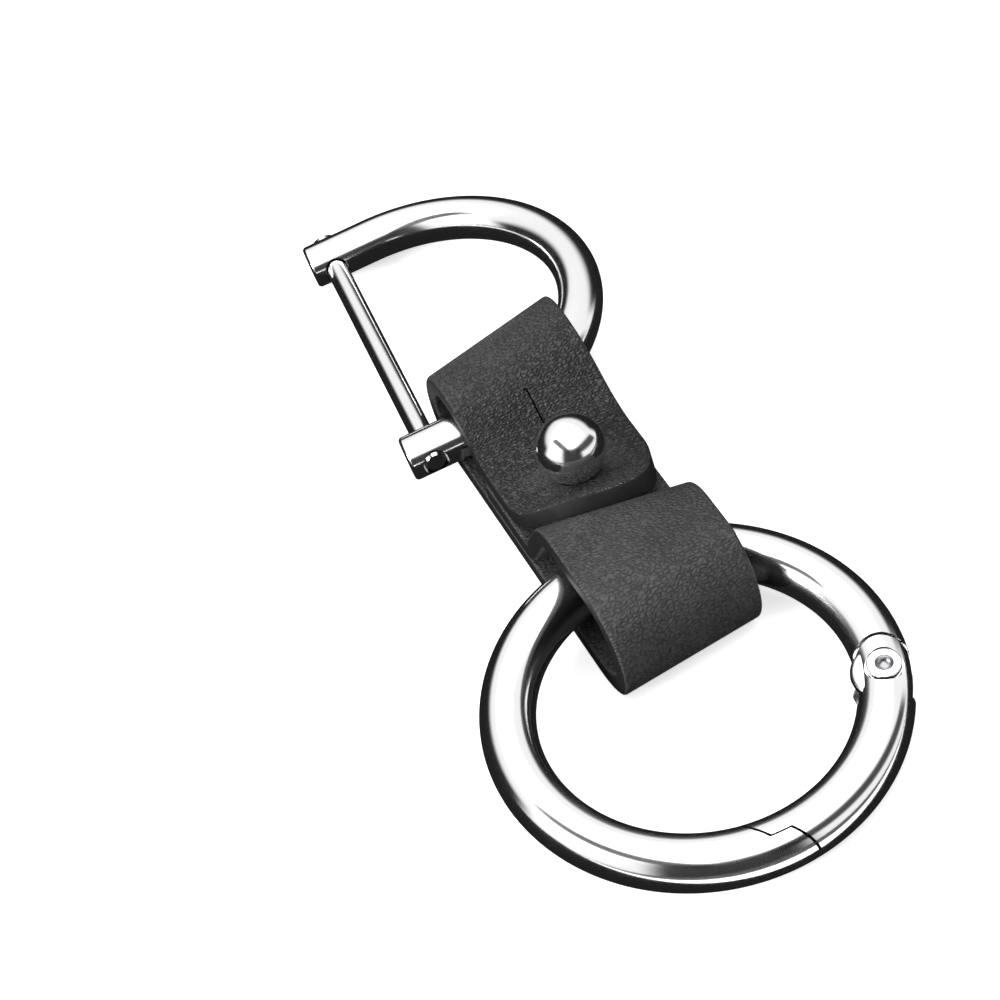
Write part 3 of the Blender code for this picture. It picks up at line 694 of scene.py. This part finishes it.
def gateOutline(spare, hingeSpare):
    inner = ring["inner"] / 2 - overrun
    outer = ring["inner"] / 2 + ring["bar"] + overrun
    past = math.degrees(spare / ringRadius)
    first, last = ring["lap"]
    reach = ring["lapReach"]
    step = arcRun((0, 0), ringRadius + ring["lapStep"] + spare, first - past, last - past, 16)
    outline = [releasePoint(step[0], -reach), *step, releasePoint(step[-1], reach)]
    outline += arcRun((0, 0), inner, 0, ring["rivetAngle"], 48)
    cheek = ring["cheek"] + hingeSpare
    outline += arcRun(rivetSpot, cheek, ring["rivetAngle"] + 180, ring["rivetAngle"], 64)
    return outline + arcRun((0, 0), outer, ring["rivetAngle"], ring["lapOuter"], 48)


def makeRingBody():
    root = ring["rivetAngle"] + ring["tongueRoot"]
    inner, outer = ringRadius - ring["tongue"], ringRadius + ring["tongue"]
    end = ring["rivetAngle"]
    tongue = arcRun((0, 0), inner, root, end, 16)
    tongue += arcRun(rivetSpot, ring["tongue"], end - 180, end, 48)[1:-1]
    tongue += arcRun((0, 0), outer, end, root, 16)
    bm = carve(
        ringOfBar(ringRadius, ring["bar"]),
        ("DIFFERENCE", plateFrom(gateOutline(ring["gap"], ring["hingeGap"]), ring["bar"])),
        ("UNION", plateFrom(tongue, ring["tongueThick"] / 2)),
        ("DIFFERENCE", rivetHole()),
    )
    piece = smoothPiece("spring_ring", bm, (brightChrome,), 30, onRing)
    return settle(piece, ringPlace, "ring", "polished_chrome", "ring_body")


def makeKnuckle():
    half = ring["bar"] / 2 - ring["cheekSetback"]
    lobe = uprightRod(ring["cheek"], rivetSpot, -half, half, turnedSteps)
    rims = [edge for edge in lobe.edges if edge.calc_face_angle(0) > math.radians(60)]
    rounding = dict(offset=ring["cheekRound"], segments=6, profile=0.5, material=-1)
    bmesh.ops.bevel(lobe, geom=rims, affect="EDGES", **rounding)
    flush = ringRadius + math.sqrt((ring["bar"] / 2) ** 2 - half**2)
    inside = uprightRod(flush, (0, 0), -ring["bar"], ring["bar"], ringSteps)
    return carve(lobe, ("INTERSECT", inside))  # it stands out on the ring's inner side alone


def springBore(floor):
    reach = floor + ring["boreDepth"]
    swept = math.degrees(2 * math.asin(reach / (2 * ringRadius)))
    way = (polar(ringRadius, ring["rivetAngle"] - swept) - rivetSpot).normalized()
    start = rivetSpot + way * ring["tongue"]
    end = rivetSpot + way * reach
    return rodFrom(ring["bore"] / 2, (*start, 0), (*end, 0), 48)


def makeGate():
    floor = ring["tongue"] + ring["forkRoom"]
    mouth = ring["cheek"] + overrun
    between = ring["tongueThick"] + 2 * ring["gap"]
    way = ring["rivetAngle"] + 90
    middle = rivetSpot + polar((mouth - floor) / 2, way)
    head = ring["rivetHead"] / 2 + ring["gap"]
    seat = ring["bar"] / 2 + ring["rivetProud"] - ring["rivetThick"] - ring["gap"] - ring["sink"]
    bm = carve(
        ringOfBar(ringRadius, ring["bar"]),
        ("INTERSECT", plateFrom(gateOutline(0.0, 0.0), ring["bar"])),
        ("UNION", makeKnuckle()),
        ("DIFFERENCE", blockFrom((mouth + floor, 2 * mouth, between), (*middle, 0), way)),
        ("DIFFERENCE", rivetHole()),
        ("DIFFERENCE", springBore(floor)),
        ("DIFFERENCE", uprightRod(head, rivetSpot, seat, ring["bar"])),
        ("DIFFERENCE", uprightRod(head, rivetSpot, -ring["bar"], -seat)),
    )
    piece = smoothPiece("spring_gate", bm, (brightChrome,), 30, onRing)
    return settle(piece, ringPlace, "gate", "polished_chrome", "ring_gate")


def makeRivet():
    head, shank, ease = ring["rivetHead"] / 2, ring["rivetShank"] / 2, ring["rivetEase"]
    top = ring["bar"] / 2 + ring["rivetProud"]
    width, depth = ring["dish"]
    turns = [math.radians(90 * i / 8) for i in range(9)]
    upper = [(width / 2 * math.sin(a), top - depth * math.cos(a)) for a in turns]
    upper += [Vector(point) for point in arcRun((head - ease, top - ease), ease, 90, 0, 6)]
    low = top - ring["rivetThick"] - ring["sink"]
    upper += [(head, low), (shank, low)]
    profile = upper + [(r, -z) for r, z in reversed(upper)]
    bm = turnedFrom(profile, 64)
    for face in bm.faces:  # the dish takes the darker steel, a painted shade in its hollow
        off = face.calc_center_median().to_2d().length
        face.material_index = 1 if off < width / 2 - ease / 4 else 0
    piece = smoothPiece("hinge_rivet", bm, (brightChrome, steelAndDishShade), 30)
    place = ringPlace @ Matrix.Translation(rivetSpot.to_3d())
    return settle(piece, place, "ring", "satin_steel", "gate_rivet")


makeRingBody()
makeGate()
makeRivet()
for nodeName in ("gate_plunger", "gate_spring"):
    node = frame["nodes"][nodeName]
    node.data.materials.clear()
    node.data.materials.append(steelAndDishShade)
print("ring, gate and rivet made")


# Shackle, in its own frame: the crown points along +Y and the pin closes the arms
shackle = dict(
    inner=26.0,
    bar=4.0,
    arm=6.1,
    endRound=0.35,
    roll=5.0,
    pinFromEnd=2.15,
    pin=2.0,
    pinHead=3.0,
    pinHeadLength=1.2,
    pinSlot=(0.5, 0.5),
    pinInset=0.1,
    gap=0.15,
    ease=0.2,
)
shackleRadius = (shackle["inner"] + shackle["bar"]) / 2
pinY = shackle["pinFromEnd"] - shackle["arm"]
shackleAlong = -Vector(joints["pin_slide"]["axis"]).normalized()
levelUp = Vector((-shackleAlong.z, 0, shackleAlong.x)).normalized()  # square to the pin and to world Y
rolledOff = Matrix.Rotation(math.radians(shackle["roll"]), 3, shackleAlong)
shackleUp = rolledOff @ levelUp
shackleAcross = shackleUp.cross(shackleAlong)
shackleTurn = Matrix((shackleAlong, shackleAcross, shackleUp)).transposed()

# The pin's head is wider than its shank, which puts the middle of its box off its axis
uneven = (shackle["pinHead"] - shackle["pin"]) / 4
pinMiddle = boxMiddle("shackle_pin")
pinMiddle += Vector([math.copysign(uneven * math.sqrt(1 - run * run), run) for run in shackleAlong])
shackleMiddle = pinMiddle - shackleTurn @ Vector((0, pinY, 0))
shacklePlace = Matrix.Translation(shackleMiddle) @ shackleTurn.to_4x4()


def onShackle(place, normal):
    bent = Vector((place.x, place.y, 0)).normalized() * shackleRadius
    side = Vector((math.copysign(shackleRadius, place.x), place.y, 0))
    return barNormal(place, bent if place.y > 0 else side, shackle["bar"], normal)


def growArm(bm, side):
    bar = shackle["bar"] / 2
    ease = shackle["endRound"]
    straight = shackle["arm"] - ease
    rows = [(straight / 2, bar), (straight, bar)]
    for point in arcRun((straight, bar - ease), ease, 75, 0, 5):  # the arm's end is rounded over
        rows.append((point.x, point.y))
    about = Matrix.Translation((-side * shackleRadius, 0, 0))
    width = bar
    reach = 0.0
    for down, radius in rows:
        rim = [edge for edge in bm.edges if edge.is_boundary and edge.verts[0].co.x * side > 0]
        grown = bmesh.ops.extrude_edge_only(bm, edges=rim)
        new = [v for v in grown["geom"] if isinstance(v, bmesh.types.BMVert)]
        bmesh.ops.translate(bm, vec=(0, reach - down, 0), verts=new)
        bmesh.ops.scale(bm, vec=(radius / width, 1, radius / width), space=about, verts=new)
        width = radius
        reach = down


def pinBore(width, left, right):
    radius = width / 2 + shackle["gap"]
    return rodFrom(radius, (left, pinY, 0), (right, pinY, 0))


def makeShackle():
    bm = bentBar(shackleRadius, shackle["bar"], math.pi, ringSteps // 2)
    growArm(bm, 1)
    growArm(bm, -1)
    bmesh.ops.holes_fill(bm, edges=[edge for edge in bm.edges if edge.is_boundary], sides=0)
    bmesh.ops.recalc_face_normals(bm, faces=bm.faces)
    far = shackleRadius + shackle["bar"]
    seat = shackleRadius + shackle["bar"] / 2 - shackle["pinHeadLength"] - shackle["gap"]
    bm = carve(
        bm,
        ("DIFFERENCE", pinBore(shackle["pin"], -far, far)),
        ("DIFFERENCE", pinBore(shackle["pinHead"], -far, -seat)),
    )
    piece = smoothPiece("shackle_bar", bm, (brightChrome,), 30, onShackle)
    return settle(piece, shacklePlace, "shackle", "polished_chrome", "shackle_body")


def makePin():
    half = shackleRadius + shackle["bar"] / 2 - shackle["pinInset"]
    head, shank, ease = shackle["pinHead"] / 2, shackle["pin"] / 2, shackle["ease"]
    under = half - shackle["pinHeadLength"]
    profile = [(0.0, half), *arcRun((head - ease, half - ease), ease, 90, 0, 6)]
    profile += [(head, under), (shank, under)]
    profile += [(shank, ease - half), (shank - ease, -half), (0.0, -half)]
    width, depth = shackle["pinSlot"]
    slot = blockFrom((2 * head + overrun, width, 2 * depth), (0, 0, half))
    bm = carve(turnedFrom(profile, 64), ("DIFFERENCE", slot))
    piece = smoothPiece("screw_pin", bm, (brightChrome,), 30)
    turn = Matrix.Translation((0, pinY, 0)) @ Matrix.Rotation(math.radians(-90), 4, "Y")
    return settle(piece, shacklePlace @ turn, "pin", "polished_chrome", "shackle_pin")


makeShackle()
makePin()
print("shackle and pin made")


# Studio: white floor and surroundings, soft lamps, and black cards that only reflections see
studio = dict(
    floorReach=900.0,
    floorWhite=0.9,
    floorGlow=0.6,
    floorDrop=0.02,
    cardDistance=400.0,
    cardHeight=-0.01,
    cardGrey=0.015,
    cardSteps=24,
    surroundings=0.3,
)
white = (1, 1, 1, 1)
lamps = dict(
    overhead=dict(place=(20, -30, 320), size=(600, 600), power=1.8),
    side=dict(place=(60, -275, 120), size=(130, 80), power=1.1),
)
camera = dict(
    lens=108,
    sensor=36,
    clip=(0.01, 10),
    right=(0.4186, 0.8903, -0.1794),
    up=(-0.6044, 0.4205, 0.6767),
    back=(0.6779, -0.1748, 0.7141),
    place=(167.7, -50.14, 183.365),
)


def seenByEye(start):
    seen = 0.0
    for ray in ("Camera", "Glossy", "Transmission"):
        kind = start.node("ShaderNodeLightPath", {}, {}, f"Is {ray} Ray")
        seen = start.maths("MAXIMUM", seen, kind)
    return seen


def makeFloor():
    bm = bmesh.new()
    bmesh.ops.create_grid(bm, x_segments=1, y_segments=1, size=studio["floorReach"])
    bmesh.ops.translate(bm, vec=(0, 0, -studio["floorDrop"]), verts=bm.verts)
    fixed = {"Base Color": (*[studio["floorWhite"]] * 3, 1), "Roughness": 0.9}
    made, start, shader = newMaterial("white floor", fixed)
    feed(seenByEye(start) * studio["floorGlow"], shader, "Emission Strength")
    shader.inputs["Emission Color"].default_value = white
    floor = smoothPiece("floor", bm, (made,))
    floor.data.transform(Matrix.Scale(mm, 4))


def makeWorld():
    world = bpy.data.worlds.new("studio")
    bpy.context.scene.world = world
    world.use_nodes = True
    background = world.node_tree.nodes["Background"]
    low = studio["surroundings"]
    feed(low + (1 - low) * seenByEye(Wire(world.node_tree)), background, "Strength")
    background.inputs["Color"].default_value = white


def makeLamp(name, look):
    lamp = bpy.data.lights.new(name, "AREA")
    lamp.shape = "RECTANGLE"
    lamp.size, lamp.size_y = (side * mm for side in look["size"])
    lamp.energy = look["power"]
    made = bpy.data.objects.new(name, lamp)
    bpy.context.scene.collection.objects.link(made)
    place = Vector(look["place"])
    made.location = place * mm
    made.rotation_euler = (-place).to_track_quat("-Z", "Y").to_euler()  # it aims at the part's middle
    made.visible_camera = False


def skyPoint(azimuth, elevation):
    level = polar(studio["cardDistance"] * math.cos(math.radians(elevation)), azimuth)
    return Vector((level.x, level.y, studio["cardDistance"] * math.sin(math.radians(elevation))))


def makeCardFinish():
    grey = (studio["cardGrey"],) * 3
    fixed = {"Base Color": (0, 0, 0, 1), "Specular IOR Level": 0.0, "Roughness": 1.0}
    made, start, shader = newMaterial("black card", fixed)
    shader.inputs["Emission Color"].default_value = (*grey, 1)
    shader.inputs["Emission Strength"].default_value = 1.0
    shade = start.node("ShaderNodeAttribute", {"attribute_name": "shade"}, {}, 2)
    clear = start.node("ShaderNodeBsdfTransparent", {}, {})
    solid = Wire(start.tree, shader.outputs[0])
    mixed = start.node("ShaderNodeMixShader", {}, {0: shade, 1: clear, 2: solid})
    feed(mixed, start.tree.nodes["Material Output"], "Surface")
    return made


def smooth(share):
    share = min(max(share, 0.0), 1.0)
    return share * share * (3 - 2 * share)


def makeCard(name, corners, soft, strength, finish):
    bm = bmesh.new()
    steps = studio["cardSteps"]
    bmesh.ops.create_grid(bm, x_segments=steps, y_segments=steps, size=0.5)
    shadeLayer = bm.verts.layers.float.new("shade")
    first, second, third, fourth = (Vector(corner) for corner in corners)
    for vert in bm.verts:
        u, v = vert.co.x + 0.5, vert.co.y + 0.5
        borders = zip((u, 1 - u, v, 1 - v), soft)
        fades = [smooth(inside / width) if width else 1.0 for inside, width in borders]
        vert[shadeLayer] = strength * math.prod(fades)
        vert.co = first.lerp(second, u).lerp(fourth.lerp(third, u), v)
    card = smoothPiece(name, bm, (finish,))
    card.data.transform(Matrix.Scale(mm, 4))
    for sight in ("camera", "diffuse", "shadow", "transmission", "volume_scatter"):
        setattr(card, "visible_" + sight, False)


# A sky card's corners are (azimuth, elevation), its soft borders are shares of it: start, end, low, high.
# A soft border is none at all, or wider than one of the card's steps.
skyCards = dict(
    front=([(-52, -6), (22, -6), (22, 44), (-52, 44)], (0.2, 0.2, 0.1, 0.25), 0.97),
    leftArm=([(-20, 22), (-118, 38), (-118, 60), (-20, 44)], (0.05, 0.15, 0.25, 0.25), 0.95),
    rightArm=([(2, 18), (88, 2), (88, 24), (2, 42)], (0.05, 0.15, 0.25, 0.25), 0.95),
    backLow=([(95, -3), (180, -3), (180, 26), (95, 26)], (0.2, 0.0, 0.0, 0.5), 1.0),
    sideLow=([(180, -3), (262, -3), (262, 26), (180, 26)], (0.0, 0.2, 0.0, 0.5), 1.0),
)
# A floor card's corners are (x, y); the bright strip between the two shows along the ring's near side
floorCards = dict(
    under=([(-600, -600), (45.5, -600), (45.5, 600), (-600, 600)], (0.0, 0.0, 0.0, 0.0), 1.0),
    ahead=([(51.5, -600), (600, -600), (600, 600), (51.5, 600)], (0.0, 0.0, 0.0, 0.0), 0.95),
)


def makeCards():
    finish = makeCardFinish()
    for name, (corners, soft, strength) in skyCards.items():
        inSky = [skyPoint(*corner) for corner in corners]
        makeCard("card " + name, inSky, soft, strength, finish)
    for name, (corners, soft, strength) in floorCards.items():
        onFloor = [(*corner, studio["cardHeight"]) for corner in corners]
        makeCard("card " + name, onFloor, soft, strength, finish)


def makeCamera(look):
    data = bpy.data.cameras.new("camera")
    data.lens = look["lens"]
    data.sensor_width = look["sensor"]
    data.clip_start, data.clip_end = look["clip"]
    made = bpy.data.objects.new("camera", data)
    bpy.context.scene.collection.objects.link(made)
    turn = Matrix((look["right"], look["up"], look["back"])).transposed().to_4x4()
    place = strapOrigin + Vector(look["place"])
    made.matrix_world = Matrix.Translation(place * mm) @ turn
    bpy.context.scene.camera = made


makeFloor()
makeWorld()
for lampName, lampLook in lamps.items():
    makeLamp(lampName, lampLook)
makeCards()
makeCamera(camera)
bpy.context.scene.view_settings.view_transform = "Standard"
print("staged")
